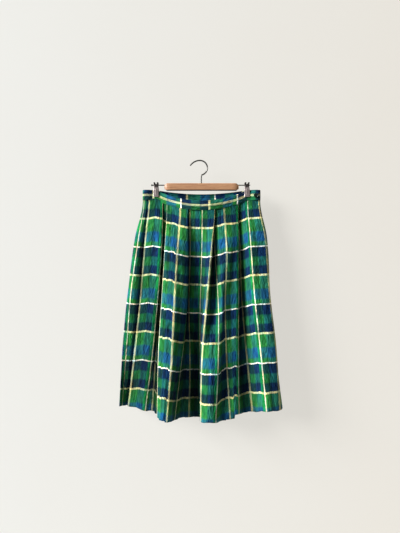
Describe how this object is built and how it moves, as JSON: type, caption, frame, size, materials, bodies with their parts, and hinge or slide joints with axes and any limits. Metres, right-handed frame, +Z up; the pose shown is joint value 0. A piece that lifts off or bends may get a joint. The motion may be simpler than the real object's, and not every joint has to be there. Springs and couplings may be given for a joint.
{
  "type": "pleated skirt on clip hanger",
  "caption": "Midi skirt in a plaid weave, pleated into a straight waistband, hung by two sprung clips from a slim wooden bar with a wire hook.",
  "frame": {"origin": "inside of the hook's crown, where a rail or a nail carries the hanger", "axes": "+Z up, the front of the skirt faces -Y, +X to the right as seen from the front"},
  "size_m": [0.514, 0.12, 0.8214],
  "materials": {
    "plaid_cloth": "matte woven cotton, green and blue plaid with white and cream stripes",
    "button": "dark, softly polished",
    "bar_wood": "satin lacquered beech, reddish tan",
    "hook_chrome": "bright plated wire",
    "clip_steel": "plated sheet steel",
    "clip_pad": "matte"
  },
  "bodies": {
    "root": {"skirt_front": "plaid_cloth", "skirt_back": "plaid_cloth", "waistband_front": "plaid_cloth", "waistband_back": "plaid_cloth", "button": "button", "hanger_bar": "bar_wood", "hanger_hook": "hook_chrome", "rod_left": "clip_steel", "rod_right": "clip_steel", "clip_left_front_plate": "clip_steel", "clip_left_back_plate": "clip_steel", "clip_left_front_pad": "clip_pad", "clip_left_back_pad": "clip_pad", "clip_left_spring": "clip_steel", "clip_right_front_plate": "clip_steel", "clip_right_back_plate": "clip_steel", "clip_right_front_pad": "clip_pad", "clip_right_back_pad": "clip_pad", "clip_right_spring": "clip_steel"}
  },
  "joints": []
}
